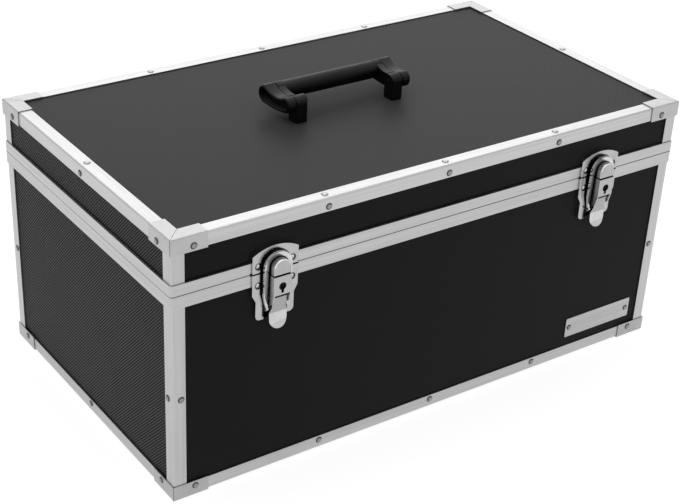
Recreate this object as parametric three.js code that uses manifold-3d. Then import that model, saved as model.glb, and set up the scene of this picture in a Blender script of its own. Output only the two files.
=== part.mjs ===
// A rigid transport case: laminated panels held in aluminium angles, a hinged lid, two keyed
// draw latches on the front and a folding handle on top. Millimetres, Z up, front towards -Y.
import * as THREE from "three";
import { mergeVertices } from "three/addons/utils/BufferGeometryUtils.js";
import Module from "manifold-3d";

// Case, over the corner brackets
const caseLength = 640;
const caseDepth = 364.5;
const caseHeight = 295.5;
const lidHeight = 59.9;
const seamGap = 0.2;

// Boards and sheets
const boardThickness = 6;
const angleSheet = 1.2;
const angleLeg = 14.5;
const angleCornerRadius = 2;
const fitGap = 0.1;

// Closing band round the seam
const baseBandHeight = 13.6;
const lidBandHeight = 12;
const bandReach = 2.7;
const bandCornerRadius = 4;
const bandWeb = 1.4;
const bandLip = 1.3;
const lipHeight = 9;
const tongueWidth = 2;
const tongueHeight = 2.5;
const tongueInset = 2.2;
const grooveClearance = 0.6;

// Corner brackets
const bracketSheet = 1;
const bracketArm = 40;
const bracketLeg = 17;
const bracketEdgeRadius = 1.6;
const bracketSeam = 0.3;
const bracketRivetAlong = 25;
const bracketRivetDrop = 11.5;

// Rivets
const rivetRadius = 2.75;
const rivetHeight = 1.1;
const rivetRoot = 0.5;
const edgeRivetEndInset = 174;
const topRivetInset = 8.1;
const sideRivetInset = 9.4;

// Bare plate on the front
const plateLength = 98.5;
const plateHeight = 24.3;
const plateSheet = 1;
const plateCornerRadius = 1.5;
const plateEndInset = 76.8;
const plateCentreZ = 39.4;
const plateRivetReach = 43.9;
const plateRivetRadius = 1.7;
const plateRivetHeight = 0.8;

// Latches: widths, heights from the seam, and depths out from the front board
const latchEndInset = 112.5;
const latchHalfWidth = 25.8;
const latchPlateFace = 4.6;
const latchRecess = 0.9;
const latchSkirt = 1.2;
const latchSeamGap = 0.5;
const latchRivetReach = 19;
const latchRivetRadius = 2.5;
const latchRivetPocket = 4;
const catchShoulder = 19.1;
const catchApex = 26.4;
const catchRivetRise = 7.7;
const catchRecessHalfWidth = 17.3;
const catchRecessApex = 22.4;
const basePlateShoulder = 23.1;
const basePlateWaist = 30.6;
const basePlateWaistHalfWidth = 21.7;
const basePlateDrop = 51.8;
const basePlateCornerRadius = 5;
const basePlateRivetDrop = 13.1;
const basePlateRecessHalfWidth = 14.3;
const basePlateRim = 3.6;

// Hook on the catch
const hookHalfWidth = 9.75;
const hookApex = 16.7;
const hookFace = 18;
const hookWall = 1.5;
const hookBevel = 2.2;
const hookFoot = 0.7;

// Housing with its ears and keyhole
const housingHalfWidth = 10.15;
const housingWall = 1.7;
const housingFace = 18;
const housingFront = 1.5;
const housingDrop = 21.3;
const earNeckDepth = 15.5;
const earNeckDrop = 31;
const earTipDepth = 9;
const earTipDrop = 36.8;
const earHeelDrop = 34;
const keyholeDrop = 12;
const keyholeRadius = 4.1;
const keySlotWidth = 2.8;
const keySlotReach = 7.2;

// Lock plug behind the keyhole
const plugRadius = 5.2;
const plugDepth = 8;
const plugGap = 0.3;
const plugSlotWidth = 1.6;
const plugSlotLength = 7;
const plugSlotDepth = 3;
const plugTongueReach = 7.6;
const plugTongueWidth = 3;
const plugTongueDepth = 1.5;
const plugStubRadius = 2;
const plugStubLength = 3;

// Lever: its pivot in the ears, and the bail's pivot on it
const leverPivotDepth = 10.5;
const leverPivotDrop = 26.1;
const leverPinRadius = 1.5;
const bailPivotDepth = 7.5;
const bailPivotDrop = 39;
const bailPinRadius = 1.2;
const pinClearance = 0.3;
const leverHalfWidth = 8;
const leverSheet = 1.5;
const leverFlange = 1.4;
const leverTopDepth = 15.3;
const leverTopDrop = 23;
const leverFoldDepth = 10.4;
const leverFoldDrop = 44;
const leverCurlDepth = 11;
const leverCurlDrop = 54;
const leverTipDepth = 13.4;
const leverTipDrop = 61.2;
const tabHalfWidth = 10;
const tabShoulderDrop = 37.6;
const tabShoulderFall = 5;
const flangeEyeRadius = 2.9;

// Bail
const bailHalfWidth = 15.5;
const bailStrip = 4.3;
const bailThickness = 2.7;
const bailApex = 21.7;
const bailApexDepth = 9.6;
const bailBendDrop = 24.6;
const bailEndHalfWidth = 12.5;
const bailEndWidth = 2.05;
const bailEyeRadius = 2.4;

// Hinges on the back
const hingeEndInset = 130;
const hingeLength = 60;
const hingeSheet = 1.5;
const hingeLeafHeight = 11.4;
const knuckleRadius = 3.2;
const knuckleBore = 1.8;
const knuckleLength = 17;
const knuckleGap = 0.3;
const hingePinRadius = 1.5;
const hingePinHead = 1.2;
const hingePinHeadRadius = 2.4;
const hingeRivetReach = 20;
const hingeRivetRadius = 2.2;

// Handle: depths and heights from its pivot, widths from the seam between grip and cover
const handleCentreX = -11;
const handlePivotY = -14.2;
const handlePivotRise = 17.3;
const handleSeamReach = 68;
const handleArmWidth = 8.3;
const handleBlockWidth = 14.5;
const handleBlockPastSeam = 1;
const handleBlockRadius = 8.6;
const handleBlockCorner = 3;
const handleSideGap = 0.3;
const handleCoverWidth = 14.8;
const handleCoverTaper = 3.4;
const handleEdgeRadius = 2;
const barrelRadius = 8.6;
const tailReach = 35.8;
const tailRise = 0.6;
const tailRadius = 10.2;
const backBowReach = 15;
const backBowRise = 0.3;
const bellyBowReach = 10;
const bellyBowDrop = 12;
const gripHalfDepth = 9.7;
const gripHalfHeight = 9.9;
const capWall = 2.4;
const capFloor = 5;
const capHollowFront = 0.8;
const capHollowFrontRadius = 5.4;
const handlePinRadius = 2.5;
const handlePinProud = 0.8;

// Roundness
const roundSteps = 12;
const arcSteps = 6;
const rivetSteps = 8;
const edgeSteps = 3;
const overrun = 1;
const mergeTolerance = 1e-4;

// Planes that the sizes above give, measured from the middle of the case
const bracketX = caseLength / 2;
const bracketY = caseDepth / 2;
const seamHeight = caseHeight - lidHeight;
const angleX = bracketX - bracketSheet - fitGap;
const angleY = bracketY - bracketSheet - fitGap;
const angleBottom = bracketSheet + fitGap;
const angleTop = caseHeight - bracketSheet - fitGap;
const boardX = angleX - angleSheet - fitGap;
const boardY = angleY - angleSheet - fitGap;
const boardBottom = angleBottom + angleSheet + fitGap;
const boardTop = angleTop - angleSheet - fitGap;
const baseTop = seamHeight - seamGap / 2;
const lidBottom = seamHeight + seamGap / 2;
const baseBandBottom = seamHeight - baseBandHeight;
const lidBandTop = seamHeight + lidBandHeight;
const lidWeb = tongueHeight + grooveClearance + bandWeb;
const edgeRivetX = bracketX - edgeRivetEndInset;
const plateCentreX = bracketX - plateEndInset;
const latchX = bracketX - latchEndInset;
const hingeX = bracketX - hingeEndInset;
const hingeAxisOut = bandReach + fitGap + knuckleRadius;
const handleArmInner = handleSeamReach - handleArmWidth;
const handleBlockOuter = handleSeamReach + handleBlockPastSeam;
const handleBlockInner = handleBlockOuter - handleBlockWidth;
const handleOuterReach = handleSeamReach + handleCoverWidth;
const frontReach = boardY + Math.max(hookFace, housingFace);
const backReach = boardY + hingeAxisOut + knuckleRadius;

const aluminium = { color: 0xc9cacb, metalness: 0.9, roughness: 0.38 };
const laminate = { color: 0x1c1c1d, metalness: 0, roughness: 0.55 };
const plated = { color: 0xb9b8b4, metalness: 0.95, roughness: 0.3 };
const blackPlastic = { color: 0x141415, metalness: 0, roughness: 0.5 };

const wasm = await Module();
wasm.setup();

// A closed geometry as a solid that can be joined and cut.
function solidOf(geometry) {
  const bare = geometry.clone();
  bare.deleteAttribute("normal");
  bare.deleteAttribute("uv");
  const merged = mergeVertices(bare, mergeTolerance);
  const vertProperties = merged.attributes.position.array;
  const triVerts = new Uint32Array(merged.index.array);
  return new wasm.Manifold(new wasm.Mesh({ numProp: 3, vertProperties, triVerts }));
}

// A named mesh of a solid, with a material of its own.
function piece(name, solid, finish) {
  const made = solid.getMesh();
  const geometry = new THREE.BufferGeometry();
  geometry.setAttribute("position", new THREE.BufferAttribute(made.vertProperties, 3));
  geometry.setIndex(new THREE.BufferAttribute(made.triVerts, 1));
  geometry.computeVertexNormals();
  const mesh = new THREE.Mesh(geometry, new THREE.MeshStandardMaterial(finish));
  mesh.name = name;
  return mesh;
}

// A box between two corners.
function block(x0, x1, y0, y1, z0, z1) {
  const box = new THREE.BoxGeometry(x1 - x0, y1 - y0, z1 - z0);
  box.translate((x0 + x1) / 2, (y0 + y1) / 2, (z0 + z1) / 2);
  return solidOf(box);
}

// A shape drawn in X and height, extruded out of the front from one depth to another.
function facePrism(shape, near, far) {
  const options = { depth: far - near, bevelEnabled: false, curveSegments: arcSteps };
  const geometry = new THREE.ExtrudeGeometry(shape, options);
  geometry.translate(0, 0, near);
  geometry.rotateX(Math.PI / 2);
  return solidOf(geometry);
}

// A shape drawn in depth and height, extruded sideways from one X to another.
function sidePrism(shape, left, right) {
  const options = { depth: right - left, bevelEnabled: false, curveSegments: arcSteps };
  const geometry = new THREE.ExtrudeGeometry(shape, options);
  geometry.translate(0, 0, -right);
  const outward = new THREE.Vector3(0, -1, 0);
  const upward = new THREE.Vector3(0, 0, 1);
  const sideways = new THREE.Vector3(-1, 0, 0);
  geometry.applyMatrix4(new THREE.Matrix4().makeBasis(outward, upward, sideways));
  return solidOf(geometry);
}

// A round bar along X, at a depth out of the front and a height.
function crossBar(radius, left, right, depth, height) {
  const bar = new THREE.CylinderGeometry(radius, radius, right - left, roundSteps);
  bar.rotateZ(Math.PI / 2);
  bar.translate((left + right) / 2, -depth, height);
  return solidOf(bar);
}

// A round bar along Y, between two depths out of the front.
function outBar(radius, x, near, far, height) {
  const bar = new THREE.CylinderGeometry(radius, radius, far - near, roundSteps);
  bar.translate(x, -(near + far) / 2, height);
  return solidOf(bar);
}

function polygon(points) {
  return new THREE.Shape(points.map(([x, y]) => new THREE.Vector2(x, y)));
}

// A domed rivet head that stands on a point, along a direction, with a root below the surface.
function rivetHead(point, direction, radius = rivetRadius, height = rivetHeight) {
  const shoulder_share = 0.35;
  const crown_share = 0.62;
  const crownHeight_share = 0.84;
  const profile = [
    new THREE.Vector2(0, -rivetRoot),
    new THREE.Vector2(radius, -rivetRoot),
    new THREE.Vector2(radius, height * shoulder_share),
    new THREE.Vector2(radius * crown_share, height * crownHeight_share),
    new THREE.Vector2(0, height),
  ];
  const head = new THREE.LatheGeometry(profile, rivetSteps);
  const up = new THREE.Vector3(0, 1, 0);
  const turn = new THREE.Quaternion().setFromUnitVectors(up, direction);
  head.applyQuaternion(turn);
  head.translate(point.x, point.y, point.z);
  return solidOf(head);
}

// An L section: one leg along x, one along y, with its outer corner at the origin.
function angleSection(legX, legY, sheet, radius) {
  const shape = new THREE.Shape();
  shape.moveTo(radius, 0);
  shape.lineTo(legX, 0);
  shape.lineTo(legX, sheet);
  shape.lineTo(sheet, sheet);
  shape.lineTo(sheet, legY);
  shape.lineTo(0, legY);
  shape.lineTo(0, radius);
  shape.absarc(radius, radius, radius, Math.PI, 1.5 * Math.PI, false);
  return shape;
}

// An L bar along Z from one end to the other. A mitred end is drawn back along the x leg.
function angleBar(section, start, end, mitreStart, mitreEnd) {
  const options = { depth: end - start, bevelEnabled: false, curveSegments: edgeSteps };
  const geometry = new THREE.ExtrudeGeometry(section, options);
  geometry.translate(0, 0, start);
  const places = geometry.attributes.position;
  const middle = (start + end) / 2;
  for (let i = 0; i < places.count; i += 1) {
    const z = places.getZ(i);
    if (mitreStart && z < middle) places.setZ(i, z + places.getX(i));
    if (mitreEnd && z > middle) places.setZ(i, z - places.getX(i));
  }
  return geometry;
}

// The turn that lays an L section's legs along two directions.
function legTurn(legX, legY) {
  const along = new THREE.Vector3().crossVectors(legX, legY);
  return new THREE.Matrix4().makeBasis(legX, legY, along);
}

const frontOutward = new THREE.Vector3(0, -1, 0);
const legXOutward = new THREE.Vector3(0, -1, 0);
const legYOutward = new THREE.Vector3(-1, 0, 0);

// A mitred edge bar with rivets through its upright leg, and on the lid also through the flat one.
function edgeBar(length, rivetPlaces, rivetsOnFlat) {
  const half = (length - fitGap) / 2;
  const section = angleSection(angleLeg, angleLeg, angleSheet, angleCornerRadius);
  let bar = solidOf(angleBar(section, -half, half, true, true));
  for (const along of rivetPlaces) {
    bar = bar.add(rivetHead(new THREE.Vector3(0, sideRivetInset, along), legYOutward));
    if (rivetsOnFlat) {
      bar = bar.add(rivetHead(new THREE.Vector3(topRivetInset, 0, along), legXOutward));
    }
  }
  return bar;
}

const sides = [
  { name: "front", across: [0, -1], long: true },
  { name: "back", across: [0, 1], long: true },
  { name: "left", across: [-1, 0], long: false },
  { name: "right", across: [1, 0], long: false },
];

const corners = [
  { name: "front_left", x: -1, y: -1, quarter: 0 },
  { name: "front_right", x: 1, y: -1, quarter: 1 },
  { name: "back_right", x: 1, y: 1, quarter: 2 },
  { name: "back_left", x: -1, y: 1, quarter: 3 },
];

// The four bars along the top of the lid, or along the bottom of the base.
function edgeBars(prefix, height, upright, rivetsOnFlat) {
  return sides.map(({ name, across, long }) => {
    const length = long ? 2 * angleX : 2 * angleY;
    const places = long ? [-edgeRivetX, 0, edgeRivetX] : [0];
    const mesh = piece(prefix + "_" + name, edgeBar(length, places, rivetsOnFlat), aluminium);
    const inward = new THREE.Vector3(-across[0], -across[1], 0);
    mesh.quaternion.setFromRotationMatrix(legTurn(inward, new THREE.Vector3(0, 0, upright)));
    mesh.position.set(across[0] * angleX, across[1] * angleY, height);
    return mesh;
  });
}

// The four upright bars between two heights, with or without a rivet in each leg.
function uprightBars(prefix, bottom, top, riveted) {
  const half = (top - bottom) / 2;
  const section = angleSection(angleLeg, angleLeg, angleSheet, angleCornerRadius);
  let bar = solidOf(angleBar(section, -half, half, false, false));
  if (riveted) {
    bar = bar.add(rivetHead(new THREE.Vector3(0, sideRivetInset, 0), legYOutward));
    bar = bar.add(rivetHead(new THREE.Vector3(sideRivetInset, 0, 0), legXOutward));
  }
  return corners.map(({ name, x, y }) => {
    const mesh = piece(prefix + "_" + name, bar, aluminium);
    const turn = legTurn(new THREE.Vector3(-x, 0, 0), new THREE.Vector3(0, -y, 0));
    mesh.quaternion.setFromRotationMatrix(turn);
    mesh.position.set(x * angleX, y * angleY, bottom + half);
    return mesh;
  });
}

// One folded arm of a corner bracket, with its rivet, laid along the edge that its legs wrap.
function bracketArmSolid(flatLeg, forward) {
  const section = angleSection(bracketLeg, bracketLeg, bracketSheet, bracketEdgeRadius);
  const start = forward ? bracketSeam : -bracketArm;
  const end = forward ? bracketArm : -bracketSeam;
  const arm = angleBar(section, start, end, forward, !forward);
  const turn = legTurn(flatLeg, new THREE.Vector3(0, 0, -1));
  arm.applyMatrix4(turn);
  const along = forward ? bracketRivetAlong : -bracketRivetAlong;
  const head = new THREE.Vector3(0, bracketRivetDrop, along).applyMatrix4(turn);
  return solidOf(arm).add(rivetHead(head, flatLeg.clone().negate()));
}

// A stamped corner: two arms that meet in an open mitre, tied together by the lower half of its top.
function bracketSolid() {
  const armY = bracketArmSolid(new THREE.Vector3(1, 0, 0), true);
  const armX = bracketArmSolid(new THREE.Vector3(0, 1, 0), false);
  const inner = bracketSheet;
  const tie = block(inner, bracketLeg, inner, bracketLeg, -bracketSheet, -bracketSheet / 2);
  return armX.add(armY).add(tie);
}

// The four brackets on the lid, or the same stamping turned over under the base.
function brackets(prefix, height, turnedOver) {
  const stamping = bracketSolid();
  return corners.map(({ name, x, y, quarter }) => {
    const mesh = piece(prefix + "_" + name, stamping, aluminium);
    if (turnedOver) mesh.rotation.x = Math.PI;
    const place = new THREE.Group();
    const quarters = turnedOver ? quarter + 1 : quarter;
    place.rotation.z = (quarters * Math.PI) / 2;
    place.position.set(x * bracketX, y * bracketY, height);
    place.add(mesh);
    return place;
  });
}

// A rectangle about the middle, with rounded corners where a radius is given.
function roundedRectangle(path, halfX, halfY, radius) {
  if (radius === 0) {
    path.moveTo(-halfX, -halfY);
    path.lineTo(halfX, -halfY);
    path.lineTo(halfX, halfY);
    path.lineTo(-halfX, halfY);
    path.closePath();
    return path;
  }
  const x = halfX - radius;
  const y = halfY - radius;
  path.absarc(x, y, radius, 0, 0.5 * Math.PI, false);
  path.absarc(-x, y, radius, 0.5 * Math.PI, Math.PI, false);
  path.absarc(-x, -y, radius, Math.PI, 1.5 * Math.PI, false);
  path.absarc(x, -y, radius, 1.5 * Math.PI, 2 * Math.PI, false);
  path.closePath();
  return path;
}

// A rectangular frame round the case, between two offsets out of the boards' faces.
function frameRing(outer, inner, bottom, top, radius) {
  const shape = roundedRectangle(new THREE.Shape(), boardX + outer, boardY + outer, radius);
  const hole = roundedRectangle(new THREE.Path(), boardX + inner, boardY + inner, 0);
  shape.holes.push(hole);
  const options = { depth: top - bottom, bevelEnabled: false, curveSegments: edgeSteps };
  const geometry = new THREE.ExtrudeGeometry(shape, options);
  geometry.translate(0, 0, bottom);
  return solidOf(geometry);
}

// The base's band: an outer wall, a web over the boards' edges, a lip inside and the tongue.
function baseRim() {
  const lipOut = -boardThickness - fitGap;
  const lipIn = lipOut - bandLip;
  const webBottom = baseTop - bandWeb;
  const wall = frameRing(bandReach, fitGap, baseBandBottom, baseTop, bandCornerRadius);
  const web = frameRing(bandReach, lipIn, webBottom, baseTop, bandCornerRadius);
  const lip = frameRing(lipOut, lipIn, webBottom - lipHeight, baseTop, 0);
  const tongueTop = baseTop + tongueHeight;
  const tongue = frameRing(-tongueInset, -tongueInset - tongueWidth, webBottom, tongueTop, 0);
  return wall.add(web).add(lip).add(tongue);
}

// The lid's band: the same turned over, with a groove in a thicker web for the tongue.
function lidRim() {
  const lipOut = -boardThickness - fitGap;
  const lipIn = lipOut - bandLip;
  const webTop = lidBottom + lidWeb;
  const wall = frameRing(bandReach, fitGap, lidBottom, lidBandTop, bandCornerRadius);
  const web = frameRing(bandReach, lipIn, lidBottom, webTop, bandCornerRadius);
  const lip = frameRing(lipOut, lipIn, lidBottom, webTop + lipHeight, 0);
  const grooveOut = -tongueInset + grooveClearance;
  const grooveIn = -tongueInset - tongueWidth - grooveClearance;
  const grooveTop = baseTop + tongueHeight + grooveClearance;
  const groove = frameRing(grooveOut, grooveIn, lidBottom - overrun, grooveTop, 0);
  return wall.add(web).add(lip).subtract(groove);
}

// Four walls between two heights: the long ones cover the ends of the short ones.
function wallBoards(prefix, bottom, top) {
  const insideX = boardX - boardThickness;
  const insideY = boardY - boardThickness;
  const shortY = insideY - fitGap;
  const front = block(-boardX, boardX, -boardY, -insideY, bottom, top);
  const back = block(-boardX, boardX, insideY, boardY, bottom, top);
  const left = block(-boardX, -insideX, -shortY, shortY, bottom, top);
  const right = block(insideX, boardX, -shortY, shortY, bottom, top);
  return [
    piece(prefix + "_front_panel", front, laminate),
    piece(prefix + "_back_panel", back, laminate),
    piece(prefix + "_left_panel", left, laminate),
    piece(prefix + "_right_panel", right, laminate),
  ];
}

// A board that fills the space between the walls.
function flatBoard(name, bottom, top) {
  const x = boardX - boardThickness - fitGap;
  const y = boardY - boardThickness - fitGap;
  return piece(name, block(-x, x, -y, y, bottom, top), laminate);
}

// A small bare metal plate with a rivet near each end.
function namePlate() {
  const x = plateLength / 2;
  const z = plateHeight / 2;
  const outline = roundedRectangle(new THREE.Shape(), x, z, plateCornerRadius);
  const options = { depth: plateSheet, bevelEnabled: false, curveSegments: edgeSteps };
  const sheet = new THREE.ExtrudeGeometry(outline, options);
  sheet.translate(0, 0, fitGap);
  sheet.rotateX(Math.PI / 2);
  let solid = solidOf(sheet);
  for (const side of [-1, 1]) {
    const head = new THREE.Vector3(side * plateRivetReach, -fitGap - plateSheet, 0);
    solid = solid.add(rivetHead(head, frontOutward, plateRivetRadius, plateRivetHeight));
  }
  const mesh = piece("name_plate", solid, aluminium);
  mesh.position.set(plateCentreX, -boardY, plateCentreZ);
  return mesh;
}

// An arch: a straight-sided outline from a foot up to a half round of the same width.
function archShape(halfWidth, foot, apex) {
  const shape = new THREE.Shape();
  const springing = apex - halfWidth;
  shape.moveTo(-halfWidth, foot);
  shape.lineTo(halfWidth, foot);
  shape.lineTo(halfWidth, springing);
  shape.absarc(0, springing, halfWidth, 0, Math.PI, false);
  shape.closePath();
  return shape;
}

// The catch plate's outline: square shoulders and a shallow arch, drawn in by an inset.
function catchOutline(inset) {
  const halfWidth = latchHalfWidth - inset;
  const shoulder = catchShoulder - inset;
  const apex = catchApex - inset;
  const sag = apex - shoulder;
  const radius = (halfWidth * halfWidth + sag * sag) / (2 * sag);
  const spread = Math.asin(halfWidth / radius);
  const shape = new THREE.Shape();
  const foot = latchSeamGap + inset;
  shape.moveTo(-halfWidth, foot);
  shape.lineTo(halfWidth, foot);
  shape.lineTo(halfWidth, shoulder);
  const start = Math.PI / 2 - spread;
  shape.absarc(0, apex - radius, radius, start, Math.PI / 2 + spread, false);
  shape.closePath();
  return shape;
}

// The base plate's outline: wide at the band, drawn in below it, with rounded lower corners.
function basePlateOutline(inset) {
  const wide = latchHalfWidth - inset;
  const waist = basePlateWaistHalfWidth - inset;
  const bottom = -basePlateDrop + inset;
  const radius = basePlateCornerRadius;
  const shape = new THREE.Shape();
  shape.moveTo(-wide, -latchSeamGap - inset);
  shape.lineTo(-wide, -basePlateShoulder);
  shape.lineTo(-waist, -basePlateWaist);
  shape.absarc(-waist + radius, bottom + radius, radius, Math.PI, 1.5 * Math.PI, false);
  shape.absarc(waist - radius, bottom + radius, radius, 1.5 * Math.PI, 2 * Math.PI, false);
  shape.lineTo(waist, -basePlateWaist);
  shape.lineTo(wide, -basePlateShoulder);
  shape.lineTo(wide, -latchSeamGap - inset);
  shape.closePath();
  return shape;
}

// A pressed plate that lies on the band and whose skirt reaches the board beyond the band.
function pressedPlate(outline) {
  const back = bandReach + fitGap;
  const skin = facePrism(outline(0), back, latchPlateFace);
  const skirt = facePrism(outline(0), fitGap, latchPlateFace);
  const inside = facePrism(outline(latchSkirt), -overrun, latchPlateFace);
  const half = latchHalfWidth + overrun;
  const band = block(-half, half, -back, overrun, -baseBandHeight - fitGap, lidBandHeight + fitGap);
  return skin.add(skirt.subtract(inside).subtract(band));
}

// The sunk middle of a plate, with a pocket round each rivet, and the rivets that stand in it.
function sinkPlate(plate, recessShape, rise) {
  const floor = latchPlateFace - latchRecess;
  const far = latchPlateFace + overrun;
  let cut = facePrism(recessShape, floor, far);
  for (const side of [-1, 1]) {
    const x = side * latchRivetReach;
    cut = cut.add(outBar(latchRivetPocket, x, floor, far, rise));
  }
  let sunk = plate.subtract(cut);
  for (const side of [-1, 1]) {
    const point = new THREE.Vector3(side * latchRivetReach, -floor, rise);
    sunk = sunk.add(rivetHead(point, frontOutward, latchRivetRadius));
  }
  return sunk;
}

// The lid's half of a latch: plate and hook in one.
function catchSolid() {
  const recess = archShape(catchRecessHalfWidth, -overrun, catchRecessApex);
  const plate = sinkPlate(pressedPlate(catchOutline), recess, catchRivetRise);
  const floor = latchPlateFace - latchRecess - rivetRoot;
  const edge = hookFace - hookBevel;
  const body = facePrism(archShape(hookHalfWidth, hookFoot, hookApex), floor, edge);
  const front = bevelledFront(hookHalfWidth, hookFoot, hookApex, hookBevel, edge);
  const innerShape = archShape(hookHalfWidth - hookWall, hookFoot - overrun, hookApex - hookWall);
  const hollow = facePrism(innerShape, latchPlateFace, hookFace - hookWall);
  return plate.add(body).add(front).subtract(hollow);
}

// The rounded front of the hook: two thin arches that step in towards its face.
function bevelledFront(halfWidth, foot, apex, bevel, near) {
  const options = {
    depth: rivetRoot,
    bevelEnabled: true,
    bevelThickness: bevel,
    bevelSize: bevel,
    bevelOffset: -bevel,
    bevelSegments: edgeSteps,
    curveSegments: arcSteps,
  };
  const arch = archShape(halfWidth, foot - bevel, apex);
  const geometry = new THREE.ExtrudeGeometry(arch, options);
  geometry.translate(0, 0, near - rivetRoot);
  geometry.rotateX(Math.PI / 2);
  const keep = block(-halfWidth, halfWidth, -near - 2 * bevel, -near + rivetRoot, foot, apex);
  return solidOf(geometry).intersect(keep);
}

// The base's half of a latch: a plate with a stub that carries the lock plug.
function basePlateSolid() {
  const wide = catchRecessHalfWidth;
  const narrow = basePlateRecessHalfWidth;
  const bottom = -basePlateDrop + basePlateRim;
  const recess = polygon([
    [-wide, overrun],
    [-wide, -basePlateShoulder],
    [-narrow, -basePlateWaist],
    [-narrow, bottom],
    [narrow, bottom],
    [narrow, -basePlateWaist],
    [wide, -basePlateShoulder],
    [wide, overrun],
  ]);
  const plate = sinkPlate(pressedPlate(basePlateOutline), recess, -basePlateRivetDrop);
  const stubRoot = latchPlateFace - latchRecess - rivetRoot;
  const plugBack = housingFace - housingFront - plugGap - plugDepth;
  const stubEnd = plugBack + plugStubLength;
  return plate.add(outBar(plugStubRadius, 0, stubRoot, stubEnd, -keyholeDrop));
}

// A keyhole: a round with a slot below it.
function keyholeShape() {
  const half = keySlotWidth / 2;
  const meet = Math.asin(half / keyholeRadius);
  const shape = new THREE.Shape();
  shape.absarc(0, 0, keyholeRadius, meet - Math.PI / 2, 1.5 * Math.PI - meet, false);
  shape.lineTo(-half, -keySlotReach);
  shape.lineTo(half, -keySlotReach);
  shape.closePath();
  return shape;
}

// One cheek of the housing, which runs down past the front wall into an ear round the pivot.
function cheekShape() {
  const back = latchPlateFace - latchRecess + fitGap;
  return polygon([
    [back, -latchSeamGap],
    [back, -earHeelDrop],
    [earTipDepth, -earTipDrop],
    [earNeckDepth, -earNeckDrop],
    [housingFace, -housingDrop],
    [housingFace, -latchSeamGap],
  ]);
}

// The housing: two cheeks, a front wall with the keyhole, and bores for the lever's pin.
function housingSolid() {
  const outer = housingHalfWidth;
  const inner = housingHalfWidth - housingWall;
  const wallBack = housingFace - housingFront;
  const left = sidePrism(cheekShape(), -outer, -inner);
  const right = sidePrism(cheekShape(), inner, outer);
  const front = block(-outer, outer, -housingFace, -wallBack, -housingDrop, -latchSeamGap);
  const key = facePrism(keyholeShape(), wallBack - overrun, housingFace + overrun);
  const bore = leverPinRadius + pinClearance;
  const reach = outer + overrun;
  const pinBore = crossBar(bore, -reach, reach, leverPivotDepth, -leverPivotDrop);
  const shell = left.add(right).add(front).subtract(pinBore);
  return shell.subtract(key.translate([0, 0, -keyholeDrop]));
}

// The lock plug: a drum with a key slot in its face, a bore for the stub and a short tongue.
function plugSolid() {
  const front = housingFace - housingFront - plugGap;
  const back = front - plugDepth;
  const drum = outBar(plugRadius, 0, back, front, 0);
  const tongueHalf = plugTongueWidth / 2;
  const tongueFront = -back - plugTongueDepth;
  const tongue = block(-tongueHalf, tongueHalf, tongueFront, -back, -plugTongueReach, 0);
  const slotHalf = plugSlotWidth / 2;
  const slotTop = plugSlotLength / 2;
  const slotBack = -front + plugSlotDepth;
  const slot = block(-slotHalf, slotHalf, -front - overrun, slotBack, -slotTop, slotTop);
  const boreFar = back + plugStubLength + plugGap;
  const bore = outBar(plugStubRadius + plugGap, 0, back - overrun, boreFar, 0);
  return drum.add(tongue).subtract(slot).subtract(bore);
}

// The lever's run from its top edge past the fold to the tab, whose tip curls out, seen from the side.
function leverRun() {
  const front = [
    [leverTopDepth, -leverTopDrop],
    [leverFoldDepth, -leverFoldDrop],
    [leverCurlDepth, -leverCurlDrop],
    [leverTipDepth, -leverTipDrop],
  ];
  const back = front.map(([depth, height]) => [depth - leverSheet, height]).reverse();
  return polygon([...front, ...back].reverse());
}

// The lever from the front: narrow between the ears, then a wider tab with a round end.
function leverOutline() {
  const wide = tabHalfWidth;
  const narrow = leverHalfWidth;
  const shoulder = -tabShoulderDrop;
  const roundStart = -leverTipDrop + tabHalfWidth;
  const shape = new THREE.Shape();
  shape.moveTo(-narrow, overrun);
  shape.lineTo(-narrow, shoulder);
  shape.lineTo(-wide, shoulder - tabShoulderFall);
  shape.lineTo(-wide, roundStart);
  shape.absarc(0, roundStart, wide, Math.PI, 2 * Math.PI, false);
  shape.lineTo(wide, shoulder - tabShoulderFall);
  shape.lineTo(narrow, shoulder);
  shape.lineTo(narrow, overrun);
  shape.closePath();
  return shape;
}

// A flange of the lever, round both pivots and behind its front sheet.
function flangeShape() {
  const topDepth = leverTopDepth - leverPivotDepth;
  const topRise = leverPivotDrop - leverTopDrop;
  const eye = Math.hypot(topDepth, topRise);
  const start = Math.atan2(topRise, topDepth);
  const leftTurn = 1.15 * Math.PI;
  const bottomTurn = 1.75 * Math.PI;
  const shape = new THREE.Shape();
  shape.absarc(leverPivotDepth, -leverPivotDrop, eye, start, leftTurn, false);
  shape.absarc(bailPivotDepth, -bailPivotDrop, flangeEyeRadius, leftTurn, bottomTurn, false);
  shape.lineTo(leverFoldDepth - leverSheet / 2, -leverFoldDrop);
  shape.lineTo(leverTopDepth - leverSheet / 2, -leverTopDrop);
  shape.closePath();
  return shape;
}

// The lever with its two flanges and both of its pins.
function leverSolid() {
  const depth = leverTopDepth + overrun;
  const run = sidePrism(leverRun(), -tabHalfWidth, tabHalfWidth);
  const sheet = run.intersect(facePrism(leverOutline(), -overrun, depth));
  const inner = leverHalfWidth - leverFlange;
  const left = sidePrism(flangeShape(), -leverHalfWidth, -inner);
  const right = sidePrism(flangeShape(), inner, leverHalfWidth);
  const pivotReach = housingHalfWidth;
  const pivot = crossBar(leverPinRadius, -pivotReach, pivotReach, leverPivotDepth, -leverPivotDrop);
  const bailReach = bailEndHalfWidth;
  const bailPin = crossBar(bailPinRadius, -bailReach, bailReach, bailPivotDepth, -bailPivotDrop);
  return sheet.add(left).add(right).add(pivot).add(bailPin);
}

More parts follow.
